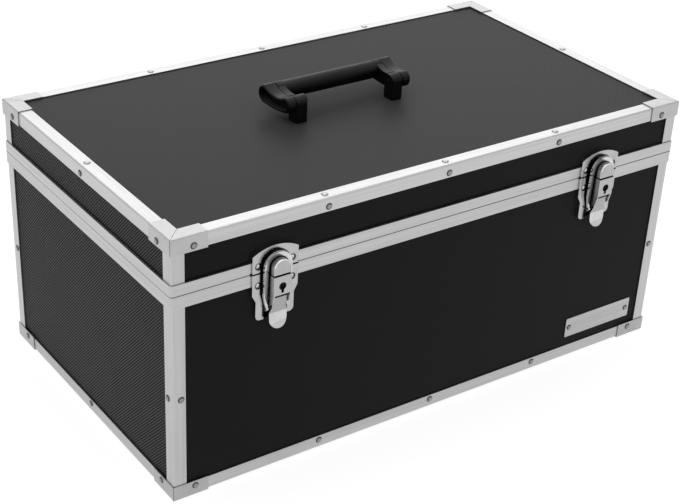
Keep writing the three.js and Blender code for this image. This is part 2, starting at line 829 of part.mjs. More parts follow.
// The bail from the front: a strip bent into an arch, whose legs draw in to the two eyes.
function bailOutline() {
  const springing = bailApex - bailHalfWidth;
  const inner = bailHalfWidth - bailStrip;
  const endInner = bailEndHalfWidth - bailEndWidth;
  const shape = new THREE.Shape();
  shape.moveTo(endInner, -bailPivotDrop);
  shape.lineTo(bailEndHalfWidth, -bailPivotDrop);
  shape.lineTo(bailHalfWidth, -bailBendDrop);
  shape.absarc(0, springing, bailHalfWidth, 0, Math.PI, false);
  shape.lineTo(-bailHalfWidth, -bailBendDrop);
  shape.lineTo(-bailEndHalfWidth, -bailPivotDrop);
  shape.lineTo(-endInner, -bailPivotDrop);
  shape.lineTo(-inner, -bailBendDrop);
  shape.absarc(0, springing, inner, Math.PI, 0, true);
  shape.lineTo(inner, -bailBendDrop);
  shape.closePath();
  return shape;
}

// The bail, which leans out a little towards its apex, with an eye at each end.
function bailSolid() {
  const options = { depth: bailThickness, bevelEnabled: false, curveSegments: arcSteps };
  const geometry = new THREE.ExtrudeGeometry(bailOutline(), options);
  geometry.translate(0, 0, bailPivotDepth - bailThickness / 2);
  const lean = (bailApexDepth - bailPivotDepth) / (bailApex + bailPivotDrop);
  const places = geometry.attributes.position;
  for (let i = 0; i < places.count; i += 1) {
    places.setZ(i, places.getZ(i) + lean * (places.getY(i) + bailPivotDrop));
  }
  geometry.rotateX(Math.PI / 2);
  let bail = solidOf(geometry);
  const outer = bailEndHalfWidth;
  const inner = bailEndHalfWidth - bailEndWidth;
  bail = bail.add(crossBar(bailEyeRadius, -outer, -inner, bailPivotDepth, -bailPivotDrop));
  bail = bail.add(crossBar(bailEyeRadius, inner, outer, bailPivotDepth, -bailPivotDrop));
  const bore = bailPinRadius + pinClearance;
  const reach = outer + overrun;
  return bail.subtract(crossBar(bore, -reach, reach, bailPivotDepth, -bailPivotDrop));
}

// One hinge leaf on the band, with its knuckles between the given spans and its rivets.
function hingeLeaf(rise, spans) {
  const half = hingeLength / 2;
  const back = bandReach + fitGap;
  const near = rise * (knuckleRadius + knuckleGap);
  const far = rise * hingeLeafHeight;
  const low = Math.min(near, far);
  const high = Math.max(near, far);
  const mid = (near + far) / 2;
  let leaf = block(-half, half, -back - hingeSheet, -back, low, high);
  for (const [left, right] of spans) {
    const barrel = crossBar(knuckleRadius, left, right, hingeAxisOut, 0);
    const strapLow = Math.min(0, mid);
    const strapHigh = Math.max(0, mid);
    const strap = block(left, right, -back - hingeSheet, -back, strapLow, strapHigh);
    leaf = leaf.add(barrel).add(strap);
  }
  const reach = half + overrun;
  leaf = leaf.subtract(crossBar(knuckleBore, -reach, reach, hingeAxisOut, 0));
  for (const x of [-hingeRivetReach, 0, hingeRivetReach]) {
    const point = new THREE.Vector3(x, -back - hingeSheet, mid);
    leaf = leaf.add(rivetHead(point, frontOutward, hingeRivetRadius));
  }
  return leaf;
}

// The hinge pin, with a head at each end.
function hingePinSolid() {
  const half = hingeLength / 2;
  const headEnd = half + knuckleGap + hingePinHead;
  const shank = crossBar(hingePinRadius, -headEnd, headEnd, hingeAxisOut, 0);
  const left = crossBar(hingePinHeadRadius, -headEnd, -half - knuckleGap, hingeAxisOut, 0);
  const right = crossBar(hingePinHeadRadius, half + knuckleGap, headEnd, hingeAxisOut, 0);
  return shank.add(left).add(right);
}

// The side outline of the handle's arm, from its barrel at the pivot to its tail and back.
function armOutline() {
  const crownTurn = 0.55 * Math.PI;
  const chinTurn = -0.31 * Math.PI;
  const tailLow = -0.456 * Math.PI;
  const tailHigh = -1.5 * Math.PI;
  const crownX = barrelRadius * Math.cos(crownTurn);
  const crownY = barrelRadius * Math.sin(crownTurn);
  const lowX = -tailReach + tailRadius * Math.cos(tailLow);
  const lowY = tailRise + tailRadius * Math.sin(tailLow);
  const shape = new THREE.Shape();
  shape.absarc(0, 0, barrelRadius, crownTurn, chinTurn, true);
  shape.quadraticCurveTo(-bellyBowReach, -bellyBowDrop, lowX, lowY);
  shape.absarc(-tailReach, tailRise, tailRadius, tailLow, tailHigh, true);
  shape.quadraticCurveTo(-backBowReach, backBowRise, crownX, crownY);
  return shape;
}

// The long hollow in the outer side of a handle end, a wall's width inside the arm's outline.
function hollowShape() {
  const quarter = Math.PI / 2;
  const tail = tailRadius - capWall;
  const front = capHollowFrontRadius;
  const shape = new THREE.Shape();
  shape.absarc(-capHollowFront, 0, front, quarter, -quarter, true);
  shape.quadraticCurveTo(-bellyBowReach, -bellyBowDrop + capWall, -tailReach, tailRise - tail);
  shape.absarc(-tailReach, tailRise, tail, -quarter, -3 * quarter, true);
  shape.quadraticCurveTo(-backBowReach, backBowRise - capWall, -capHollowFront, front);
  return shape;
}

// A handle end with a rounded outer edge, seen from the side as the arm. Its outer face draws in
// from the tail towards the barrel.
function roundedArm(left, right, outerSide) {
  const options = {
    depth: right - left,
    bevelEnabled: true,
    bevelThickness: handleEdgeRadius,
    bevelSize: handleEdgeRadius,
    bevelOffset: -handleEdgeRadius,
    bevelSegments: edgeSteps,
    curveSegments: arcSteps,
  };
  const geometry = new THREE.ExtrudeGeometry(armOutline(), options);
  const shift = outerSide * handleEdgeRadius;
  geometry.translate(0, 0, -right + shift);
  const outward = new THREE.Vector3(0, -1, 0);
  const upward = new THREE.Vector3(0, 0, 1);
  geometry.applyMatrix4(new THREE.Matrix4().makeBasis(outward, upward, legYOutward));
  const places = geometry.attributes.position;
  const middle = (left + right) / 2;
  for (let i = 0; i < places.count; i += 1) {
    const x = places.getX(i);
    const forward = Math.max(0, tailReach - places.getY(i)) / tailReach;
    if ((x - middle) * outerSide > 0) places.setX(i, x - outerSide * handleCoverTaper * forward);
  }
  const reach = tailReach + 2 * tailRadius;
  return solidOf(geometry).intersect(block(left, right, -reach, reach, -reach, reach));
}

// The space that a pivot block needs in the handle, between two places along its pivot.
function blockSpace(left, right) {
  const clear = handleBlockRadius + handleSideGap;
  const reach = tailReach;
  return block(left, right, -reach, clear, -reach, reach);
}

// The two places of a span on one side of the handle, in rising order.
function spanOf(side, near, far) {
  return side < 0 ? [-far, -near] : [near, far];
}

// The grip: an oval bar with an inner arm at each end.
function gripSolid() {
  const seam = handleSeamReach - handleSideGap / 2;
  const oval = new THREE.Shape();
  oval.absellipse(-tailReach, tailRise, gripHalfDepth, gripHalfHeight, 0, Math.PI, false);
  oval.absellipse(-tailReach, tailRise, gripHalfDepth, gripHalfHeight, Math.PI, 0, false);
  let grip = sidePrism(oval, -seam, seam);
  for (const side of [-1, 1]) {
    const [left, right] = spanOf(side, handleArmInner, seam);
    grip = grip.add(sidePrism(armOutline(), left, right));
    const [spaceLeft, spaceRight] = spanOf(side, handleArmInner - overrun, seam + overrun);
    grip = grip.subtract(blockSpace(spaceLeft, spaceRight));
  }
  return grip;
}

// A handle end: a hollowed cover over the arm, a barrel beside the block and the pivot pin.
function handleEndSolid(side) {
  const seam = handleSeamReach + handleSideGap / 2;
  const [left, right] = spanOf(side, seam, handleOuterReach);
  let cover = roundedArm(left, right, side);
  const [hollowLeft, hollowRight] = spanOf(side, seam + capFloor, handleOuterReach + overrun);
  cover = cover.subtract(sidePrism(hollowShape(), hollowLeft, hollowRight));
  const besideBlock = handleBlockOuter + handleSideGap;
  const [spaceLeft, spaceRight] = spanOf(side, seam - overrun, besideBlock);
  cover = cover.subtract(blockSpace(spaceLeft, spaceRight));
  const pinEnd = (besideBlock + seam + capFloor) / 2;
  const [pinLeft, pinRight] = spanOf(side, handleBlockInner - handlePinProud, pinEnd);
  return cover.add(crossBar(handlePinRadius, pinLeft, pinRight, 0, 0));
}

// A pivot block, upright on the lid with rounded corners and a round top about the pin's bore.
function handleBlockSolid(side) {
  const radius = handleBlockRadius;
  const foot = boardTop + fitGap - caseHeight - handlePivotRise;
  const shape = new THREE.Shape();
  shape.moveTo(-radius, foot);
  shape.lineTo(radius, foot);
  shape.lineTo(radius, 0);
  shape.absarc(0, 0, radius, 0, Math.PI, false);
  shape.closePath();
  const [left, right] = spanOf(side, handleBlockInner, handleBlockOuter);
  const plan = roundedRectangle(new THREE.Shape(), handleBlockWidth / 2, radius, handleBlockCorner);
  const options = { depth: radius - foot, bevelEnabled: false, curveSegments: edgeSteps };
  const column = new THREE.ExtrudeGeometry(plan, options);
  column.translate((left + right) / 2, 0, foot);
  const bore = handlePinRadius + handleSideGap;
  const pinBore = crossBar(bore, left - overrun, right + overrun, 0, 0);
  return sidePrism(shape, left, right).intersect(solidOf(column)).subtract(pinBore);
}

// What stays on the bench when the lid is off.
function baseGroup() {
  const group = new THREE.Group();
  group.add(...wallBoards("base", boardBottom, baseTop - bandWeb - fitGap));
  group.add(flatBoard("base_floor_panel", boardBottom, boardBottom + boardThickness));
  const uprightFoot = angleBottom + angleLeg + fitGap;
  group.add(...uprightBars("base_upright", uprightFoot, baseBandBottom - fitGap, true));
  group.add(...edgeBars("bottom_edge", angleBottom, 1, false));
  group.add(...brackets("bottom_bracket", 0, true));
  group.add(piece("base_rim", baseRim(), aluminium));
  group.add(namePlate());
  return group;
}

// The lid without its latches, hinges and handle.
function lidGroup() {
  const group = new THREE.Group();
  group.add(...wallBoards("lid", lidBottom + lidWeb + fitGap, boardTop));
  group.add(flatBoard("lid_top_panel", boardTop - boardThickness, boardTop));
  const uprightTop = angleTop - angleLeg - fitGap;
  group.add(...uprightBars("lid_upright", lidBandTop + fitGap, uprightTop, false));
  group.add(...edgeBars("top_edge", angleTop, -1, true));
  group.add(...brackets("top_bracket", caseHeight, false));
  group.add(piece("lid_rim", lidRim(), aluminium));
  return group;
}

// One whole latch, placed by its middle on the seam.
function latchGroup(name, x) {
  const group = new THREE.Group();
  group.add(piece("latch_catch_" + name, catchSolid(), plated));
  group.add(piece("latch_plate_" + name, basePlateSolid(), plated));
  group.add(piece("latch_housing_" + name, housingSolid(), plated));
  group.add(piece("latch_lever_" + name, leverSolid(), plated));
  group.add(piece("latch_bail_" + name, bailSolid(), plated));
  const plug = piece("lock_plug_" + name, plugSolid(), plated);
  plug.position.z = -keyholeDrop;
  group.add(plug);
  group.position.set(x, -boardY, seamHeight);
  return group;
}

// One hinge on the back: the lid's knuckle turns between the base's two.
function hingeGroup(name, x) {
  const half = hingeLength / 2;
  const lidHalf = half - knuckleLength - knuckleGap;
  const baseSpans = [
    [-half, -half + knuckleLength],
    [half - knuckleLength, half],
  ];
  const group = new THREE.Group();
  group.add(piece("hinge_base_leaf_" + name, hingeLeaf(-1, baseSpans), plated));
  group.add(piece("hinge_lid_leaf_" + name, hingeLeaf(1, [[-lidHalf, lidHalf]]), plated));
  group.add(piece("hinge_pin_" + name, hingePinSolid(), plated));
  group.rotation.z = Math.PI;
  group.position.set(x, boardY, seamHeight);
  return group;
}

// The handle with its two blocks, placed by its pivot.
function handleGroup() {
  const group = new THREE.Group();
  group.add(piece("handle_grip", gripSolid(), blackPlastic));
  for (const [name, side] of [["left", -1], ["right", 1]]) {
    group.add(piece("handle_end_" + name, handleEndSolid(side), blackPlastic));
    group.add(piece("handle_block_" + name, handleBlockSolid(side), blackPlastic));
  }
  group.position.set(handleCentreX, handlePivotY, caseHeight + handlePivotRise);
  return group;
}

const transportCase = new THREE.Group();
transportCase.add(baseGroup(), lidGroup(), handleGroup());
for (const [name, side] of [["left", -1], ["right", 1]]) {
  transportCase.add(latchGroup(name, side * latchX));
  transportCase.add(hingeGroup(name, side * hingeX));
}
transportCase.position.y = (frontReach - backReach) / 2;

export default transportCase;
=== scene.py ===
# A rigid transport case on a pale studio floor: laminate panels in aluminium angles.
import math

import bmesh
import bpy
from mathutils import Matrix, Vector


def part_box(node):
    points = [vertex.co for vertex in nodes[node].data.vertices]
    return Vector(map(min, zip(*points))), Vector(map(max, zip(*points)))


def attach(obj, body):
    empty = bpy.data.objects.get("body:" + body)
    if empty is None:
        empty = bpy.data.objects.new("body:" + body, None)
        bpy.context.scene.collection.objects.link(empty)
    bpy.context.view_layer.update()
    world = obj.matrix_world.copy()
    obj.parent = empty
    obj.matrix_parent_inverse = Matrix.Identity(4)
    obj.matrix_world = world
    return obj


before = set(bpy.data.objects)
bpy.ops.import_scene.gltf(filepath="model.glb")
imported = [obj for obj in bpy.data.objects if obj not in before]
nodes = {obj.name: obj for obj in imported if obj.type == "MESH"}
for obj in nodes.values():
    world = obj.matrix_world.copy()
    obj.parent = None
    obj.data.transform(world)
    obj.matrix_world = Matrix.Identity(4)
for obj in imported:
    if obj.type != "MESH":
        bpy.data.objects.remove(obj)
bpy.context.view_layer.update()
MM = 0.001

# The case in millimetres, from its middle and from the floor up. The row frame's origin lies a
# little in front of the case's middle.
rim_low, rim_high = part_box("base_rim")
SHIFT_Y = (rim_low[1] + rim_high[1]) / 2 / MM
FIT_GAP = 0.1
BRACKET_SHEET, ANGLE_SHEET, ANGLE_LEG = 1.0, 1.2, 14.5
BRACKET_X, BRACKET_Y, CASE_TOP = 320.0, 182.25, 295.5
ANGLE_BOTTOM = BRACKET_SHEET + FIT_GAP
ANGLE_TOP = CASE_TOP - ANGLE_BOTTOM
ANGLE_X, ANGLE_Y = BRACKET_X - ANGLE_BOTTOM, BRACKET_Y - ANGLE_BOTTOM
BOARD_Y = ANGLE_Y - ANGLE_SHEET - FIT_GAP
SEAM = 235.6
BAND_BOTTOM, BAND_TOP = SEAM - 13.6, SEAM + 12.0
LATCH_X = 207.5
HANDLE_X, HANDLE_SEAM = -11.0, 68.0
PLATE_X, PLATE_Z, PLATE_SHEET = 243.2, 39.4, 1.0

# Rivets, in millimetres: their places on the angles, the brackets and the bare plate
EDGE_RIVET_X = 146.0
TOP_RIVET_INSET, SIDE_RIVET_INSET = 8.1, 9.4
BRACKET_RIVET_ALONG, BRACKET_RIVET_RISE = 25.0, 11.5
PLATE_RIVET_REACH = 43.9


def place(x, y, z):
    return Vector((x, y + SHIFT_Y, z)) * MM


# Node helpers

# The colour sockets of a mix node, by their position
MIX_FACTOR, MIX_FIRST, MIX_SECOND, MIX_RESULT = 0, 6, 7, 2

# The spans over which a noise is read, of which the narrow one gives more contrast
NOISE_WIDE, NOISE_NARROW = (0.3, 0.7), (0.35, 0.65)


class Nodes:
    """The node tree of a material or of the world, with short calls for the nodes used here."""

    def __init__(self, holder, output):
        holder.use_nodes = True
        self.holder = holder
        self.tree = holder.node_tree
        self.tree.nodes.clear()
        self.output = self.tree.nodes.new(output)

    def node(self, kind, inputs=()):
        made = self.tree.nodes.new(kind)
        for key, value in dict(inputs).items():
            self.feed(made.inputs[key], value)
        return made

    def feed(self, socket, value):
        if isinstance(value, bpy.types.NodeSocket):
            self.tree.links.new(value, socket)
        else:
            socket.default_value = value

    def finish(self, surface):
        self.tree.links.new(surface.outputs[0], self.output.inputs[0])
        return self.holder

    def object_coords(self):
        return self.node("ShaderNodeTexCoord").outputs["Object"]

    def split(self, vector):
        return self.node("ShaderNodeSeparateXYZ", {"Vector": vector}).outputs

    def math(self, operation, *values, clamp=False):
        made = self.tree.nodes.new("ShaderNodeMath")
        made.operation = operation
        made.use_clamp = clamp
        for socket, value in zip(made.inputs, values):
            self.feed(socket, value)
        return made.outputs[0]

    def vector(self, operation, *values):
        made = self.tree.nodes.new("ShaderNodeVectorMath")
        made.operation = operation
        for socket, value in zip(made.inputs, values):
            self.feed(socket, value)
        return made.outputs["Value" if operation == "DOT_PRODUCT" else "Vector"]

    def distance(self, value, middle):
        return self.math("ABSOLUTE", self.math("SUBTRACT", value, middle))

    def blend(self, first, second, share):
        """Adds two values, the first by its share and the second by the rest."""
        rest = self.math("MULTIPLY", second, 1 - share)
        return self.math("ADD", self.math("MULTIPLY", first, share), rest)

    def remap(self, value, span, result=(0.0, 1.0)):
        """Maps a span of values evenly to the result's span, and holds it past both ends."""
        inputs = {"Value": value, "From Min": span[0], "From Max": span[1]}
        inputs.update({"To Min": result[0], "To Max": result[1]})
        return self.node("ShaderNodeMapRange", inputs).outputs["Result"]

    def noise(self, coords, scale, detail=2.0, rough=0.5, stretch=(1.0, 1.0, 1.0)):
        inputs = {"Vector": self.vector("MULTIPLY", coords, stretch), "Scale": scale}
        inputs.update({"Detail": detail, "Roughness": rough})
        return self.node("ShaderNodeTexNoise", inputs).outputs["Fac"]

    def mix(self, factor, first, second):
        made = self.tree.nodes.new("ShaderNodeMix")
        made.data_type = "RGBA"
        self.feed(made.inputs[MIX_FACTOR], factor)
        self.feed(made.inputs[MIX_FIRST], first)
        self.feed(made.inputs[MIX_SECOND], second)
        return made.outputs[MIX_RESULT]

    def mottle(self, factor, level, dark_share, light_share):
        """A grey that runs between two shares of its level."""
        return self.mix(factor, grey(level * dark_share), grey(level * light_share))

    def bump(self, height, strength, distance):
        inputs = {"Height": height, "Strength": strength, "Distance": distance * MM}
        return self.node("ShaderNodeBump", inputs).outputs["Normal"]

    def principled(self, **inputs):
        made = self.tree.nodes.new("ShaderNodeBsdfPrincipled")
        for key, value in inputs.items():
            self.feed(made.inputs[key.replace("_", " ")], value)
        return self.finish(made)


def shader(name):
    return Nodes(bpy.data.materials.new(name), "ShaderNodeOutputMaterial")


def grey(level):
    return (level, level, level, 1.0)


# Materials: distances in millimetres, noise scales per metre, greys and roughness from 0 to 1

# The lines of drawn metal are stretched along its bar. The rims carry a painted shade line at the seam,
# which is higher and darker as far as the latches shade it.
DRAWN_STRETCH = 0.012
DRAWN_ROUGHNESS = (0.30, 0.43)
SEAM_HALF, SEAM_HALF_AT_LATCH, SEAM_BLUR = 0.4, 1.4, 0.3
LATCH_SHADE_END = (27.5, 27.7)
LATCH_SHADE_GREY = 0.02


def painted_seam_shade(s, coords, colour, seam_shade_grey):
    """Paints a line of shade at the seam over a colour, deepest next to the latches."""
    along, inward, height = s.split(coords)
    beside = s.distance(s.math("ABSOLUTE", along), LATCH_X * MM)
    # The latches shade the seam on the front only, so the back half counts as a metre away
    beside = s.math("ADD", beside, s.math("GREATER_THAN", inward, SHIFT_Y * MM))
    shade_end = [reach * MM for reach in LATCH_SHADE_END]
    half = s.remap(beside, shade_end, (SEAM_HALF_AT_LATCH * MM, SEAM_HALF * MM))
    away = s.math("SUBTRACT", s.distance(height, SEAM * MM), half)
    shade = s.remap(beside, shade_end, (LATCH_SHADE_GREY, seam_shade_grey))
    line = s.node("ShaderNodeCombineColor", {"Red": shade, "Green": shade, "Blue": shade})
    return s.mix(s.remap(away, (0.0, SEAM_BLUR * MM)), line.outputs[0], colour)


def aluminium(name, axis, level, seam_shade_grey=None):
    """Drawn aluminium: fine lines and a soft sheen along one axis, with a painted shade line at the seam
    for the rims.
    """
    s = shader(name)
    coords = s.object_coords()
    stretch = [1.0, 1.0, 1.0]
    stretch[axis] = DRAWN_STRETCH
    fine = s.noise(coords, scale=2600.0, detail=3.0, rough=0.6, stretch=stretch)
    broad = s.noise(coords, scale=420.0, stretch=stretch)
    cloud = s.noise(coords, scale=26.0, detail=3.0)
    tone = s.remap(s.blend(broad, cloud, share=0.7), NOISE_WIDE)
    colour = s.mottle(tone, level, dark_share=0.90, light_share=1.07)
    if seam_shade_grey is not None:
        colour = painted_seam_shade(s, coords, colour, seam_shade_grey)
    rough = s.remap(s.blend(fine, cloud, share=0.5), NOISE_WIDE, DRAWN_ROUGHNESS)
    normal = s.bump(fine, strength=0.10, distance=0.2)
    return s.principled(Base_Color=colour, Metallic=1.0, Roughness=rough, Normal=normal)


STAMPED_ROUGHNESS = (0.30, 0.46)


def stamped(name, level):
    """Stamped aluminium of brackets and rivets: no drawn lines, small marks, a slight orange peel."""
    s = shader(name)
    coords = s.object_coords()
    peel = s.noise(coords, scale=520.0)
    cloud = s.noise(coords, scale=60.0, detail=4.0, rough=0.6)
    colour = s.mottle(s.remap(cloud, NOISE_NARROW), level, dark_share=0.92, light_share=1.05)
    rough = s.remap(cloud, NOISE_WIDE, STAMPED_ROUGHNESS)
    normal = s.bump(peel, strength=0.12, distance=0.2)
    return s.principled(Base_Color=colour, Metallic=1.0, Roughness=rough, Normal=normal)


# Painted shade: a dark line is given as its height and half its width. Shade fills all above a height, and
# a fade runs from dark to plated between two depths out from the front panel.
PLATE_SHADE_LINE, FRONT_SHADE_LINE = (SEAM, 0.9), (SEAM + 0.1, 1.15)
LEVER_SHADE = SEAM - 25.6
SIDE_SHADE_FADE = (11.5, 16.5)
LINE_BLUR, SHADE_BLUR = 0.15, 0.3
SHADE_GREY, FADE_SHADE_GREY = 0.006, 0.02
PLATING_ROUGHNESS = (0.14, 0.28)


def nickel(name, level, roughness=PLATING_ROUGHNESS, line=None, shade_above=None, fade=None):
    """Nickel plating over stamped steel with faint polishing marks, and painted shade where pieces nearly
    touch.
    """
    s = shader(name)
    coords = s.object_coords()
    parts = s.split(coords)
    wave = s.noise(coords, scale=210.0)
    cloud = s.noise(coords, scale=90.0, detail=4.0, rough=0.6)
    colour = s.mottle(s.remap(cloud, NOISE_NARROW), level, dark_share=0.92, light_share=1.06)
    if line is not None:
        height, half = line
        edge = ((half - LINE_BLUR) * MM, (half + LINE_BLUR) * MM)
        inside = s.remap(s.distance(parts[2], height * MM), edge, (1.0, 0.0))
        colour = s.mix(inside, colour, grey(SHADE_GREY))
    if shade_above is not None:
        shaded = s.remap(parts[2], (shade_above * MM, (shade_above + SHADE_BLUR) * MM))
        colour = s.mix(shaded, colour, grey(SHADE_GREY))
    if fade is not None:
        ends = [(SHIFT_Y - BOARD_Y - depth) * MM for depth in fade]
        colour = s.mix(s.remap(parts[1], ends), grey(FADE_SHADE_GREY), colour)
    rough = s.remap(cloud, NOISE_WIDE, roughness)
    normal = s.bump(wave, strength=0.12, distance=0.6)
    return s.principled(Base_Color=colour, Metallic=1.0, Roughness=rough, Normal=normal)


# Painted shade darkens the plastic at the seams between the grip and its end pieces, and a painted sheen
# greys it where it faces up
SEAM_SHADE_END = (0.4, 0.9)
SHEEN_FACING = (0.35, 1.0)
SHEEN_MOTTLE = (0.8, 1.1)
PLASTIC_DARK, PLASTIC_SHEEN = 0.003, 0.036
PLASTIC_ROUGHNESS = (0.34, 0.44)


def black_plastic(name):
    """Satin moulded plastic with a fine spark-eroded grain, greyed on top by a painted sheen and kept dark
    at its seams as painted shade.
    """
    s = shader(name)
    texture = s.node("ShaderNodeTexCoord").outputs
    coords = texture["Object"]
    grain = s.noise(coords, scale=2400.0, rough=0.6)
    cloud = s.noise(coords, scale=70.0, detail=3.0)
    along = s.split(coords)[0]
    from_seam = s.distance(s.distance(along, HANDLE_X * MM), HANDLE_SEAM * MM)
    unshaded_face = s.remap(from_seam, [reach * MM for reach in SEAM_SHADE_END])
    upward = s.split(texture["Normal"])[2]
    # Painted sheen: lighter where the plastic faces up, mottled at random, and left out at the seams as
    # painted shade
    top_sheen = s.math("MULTIPLY", s.remap(upward, SHEEN_FACING), s.remap(cloud, NOISE_WIDE, SHEEN_MOTTLE))
    top_sheen = s.math("MULTIPLY", top_sheen, unshaded_face, clamp=True)
    colour = s.mix(top_sheen, grey(PLASTIC_DARK), grey(PLASTIC_SHEEN))
    rough = s.remap(cloud, NOISE_WIDE, PLASTIC_ROUGHNESS)
    normal = s.bump(grain, strength=0.16, distance=0.1)
    return s.principled(Base_Color=colour, Roughness=rough, Specular_IOR_Level=0.10, Normal=normal)


# The laminate's ribs are two waves across each other, the second one fainter
RIB_PITCH = 2.6
RIB_MIDDLE, MAIN_RIBS, CROSS_RIBS = 0.5, 0.36, 0.12
LAMINATE_MOTTLE = (0.85, 1.1)
LAMINATE_SHADE_REACH = (0.8, 1.8)
LAMINATE_SHADE_GREY = 0.002
LAMINATE_ROUGHNESS = (0.56, 0.40)


def laminate(name, across, middle, half, specular, relief, dark, light, crisp=1.0):
    """Black laminate with fine raised diagonal ribs, lighter on their ridges as painted light, and a
    painted shade line where the profiles meet it.
    """
    s = shader(name)
    coords = s.object_coords()
    turns = 2 * math.pi / (RIB_PITCH * MM)
    waves = [
        s.math("SINE", s.vector("DOT_PRODUCT", coords, Vector(way).normalized() * turns))
        for way in across
    ]
    main = s.math("MULTIPLY", waves[0], MAIN_RIBS * crisp)
    ribs = s.math("ADD", main, s.math("MULTIPLY", waves[1], CROSS_RIBS * crisp))
    ribs = s.math("ADD", ribs, RIB_MIDDLE, clamp=True)
    cloud = s.noise(coords, scale=9.0, detail=4.0, rough=0.55)
    tone = s.math("MULTIPLY", ribs, s.remap(cloud, NOISE_WIDE, LAMINATE_MOTTLE))
    offset = s.vector("ABSOLUTE", s.vector("SUBTRACT", coords, middle))
    room = s.split(s.vector("SUBTRACT", half, offset))
    nearest = s.math("MINIMUM", s.math("MINIMUM", room[0], room[1]), room[2])
    # Painted shade: a dark line along the edges, where the profiles meet the panel
    unshaded_face = s.remap(nearest, [reach * MM for reach in LAMINATE_SHADE_REACH])
    # Painted light: the ribs' ridges are lighter than their grooves, over a random mottle
    ribs_lit_and_mottled = s.mix(tone, grey(dark), grey(light))
    colour = s.mix(unshaded_face, grey(LAMINATE_SHADE_GREY), ribs_lit_and_mottled)
    rough = s.remap(ribs, (0.0, 1.0), LAMINATE_ROUGHNESS)
    normal = s.bump(ribs, strength=relief, distance=0.4)
    return s.principled(Base_Color=colour, Roughness=rough, Specular_IOR_Level=specular, Normal=normal)


def painted_shade_black(name, level):
    s = shader(name)
    cloud = s.noise(s.object_coords(), scale=200.0)
    colour = s.mottle(cloud, level, dark_share=0.8, light_share=1.2)
    return s.principled(Base_Color=colour, Roughness=0.7, Specular_IOR_Level=0.2)


def drawn_set(prefix, levels, seam_shade_greys=(None, None, None)):
    """One drawn aluminium for each axis that a bar can lie along."""
    return [
        aluminium(prefix + "xyz"[axis], axis, level, seam_shade_greys[axis])
        for axis, level in enumerate(levels)
    ]


def rivet_set(ending, crown, foot, skirt, shade):
    """The finishes of a rivet head, in the order crown, foot and skirt."""
    return (
        stamped("rivet_aluminium_" + ending, crown),
        painted_shade_black("rivet_foot_" + shade, foot),
        stamped("rivet_skirt_" + ending, skirt),
    )


# The bars and brackets of the bottom take darker copies of the same aluminium: painted shade
bars = drawn_set("aluminium_along_", (0.53, 0.53, 0.49))
bottom_bars = drawn_set("bottom_aluminium_along_", (0.48, 0.45))
rims = drawn_set("rim_aluminium_along_", (0.49, 0.49), seam_shade_greys=(0.16, 0.34))
bracket_sheets = (stamped("bracket_aluminium_top", 0.46), stamped("bracket_aluminium_bottom", 0.42))
# The rivets on the upright faces take much darker copies of the same metal as painted shade, and every
# rivet has a painted shade ring at its foot
flat_rivets = rivet_set("bright", crown=0.54, foot=0.10, skirt=0.45, shade="grey")
upright_rivets = rivet_set("dull", crown=0.28, foot=0.02, skirt=0.10, shade="dark")
plating = nickel("nickel_plating", 0.44, line=PLATE_SHADE_LINE)
face_plating = nickel("nickel_plating_faces", 0.42, line=FRONT_SHADE_LINE)
# Painted highlight: a much brighter plating for the latches' bevels that look up
highlight_plating = nickel("nickel_plating_painted_highlight", 0.85, roughness=(0.10, 0.18))
bail_plating = nickel("nickel_plating_bail", 0.58, roughness=(0.10, 0.18))
# Painted shade: a near-black plating for the latches' gaps and a dark one for their recess floors
gap_shade_plating = nickel("nickel_plating_gap_shade", 0.012, roughness=(0.30, 0.45))
recess_shade_plating = nickel("nickel_plating_recess_shade", 0.09, roughness=(0.22, 0.40))
side_plating = nickel("nickel_plating_sides", 0.42, roughness=(0.2, 0.35), fade=SIDE_SHADE_FADE)
lever_plating = nickel("nickel_plating_lever", 0.56, roughness=(0.12, 0.24))
# Painted shade: a darker plating for the lever's slope, which looks down, nearly black above LEVER_SHADE as
# painted shadow under the housing
slope_shade_plating = nickel("nickel_plating_slope_shade", 0.37, roughness=(0.22, 0.36), shade_above=LEVER_SHADE)
hinge_plating = nickel("nickel_plating_hinges", 0.46)
plug_metal = nickel("lock_plug_metal", 0.02, roughness=(0.35, 0.5))
plate_metal = aluminium("plate_aluminium", 0, 0.45)
handle_plastic = black_plastic("handle_plastic")

# What shows of a panel ends at the angles and at the band. The painted shade at its edge is wider above the
# band and at the foot of the base's ends, by these millimetres.
BAND_SHADE, END_FOOT_SHADE = 1.0, 2.2

# Half sizes of what shows, in metres, with a far one that leaves a panel's thickness out
SHOWN_X, SHOWN_Y = (ANGLE_X - ANGLE_LEG) * MM, (ANGLE_Y - ANGLE_LEG) * MM
PANEL_FAR = 5.0


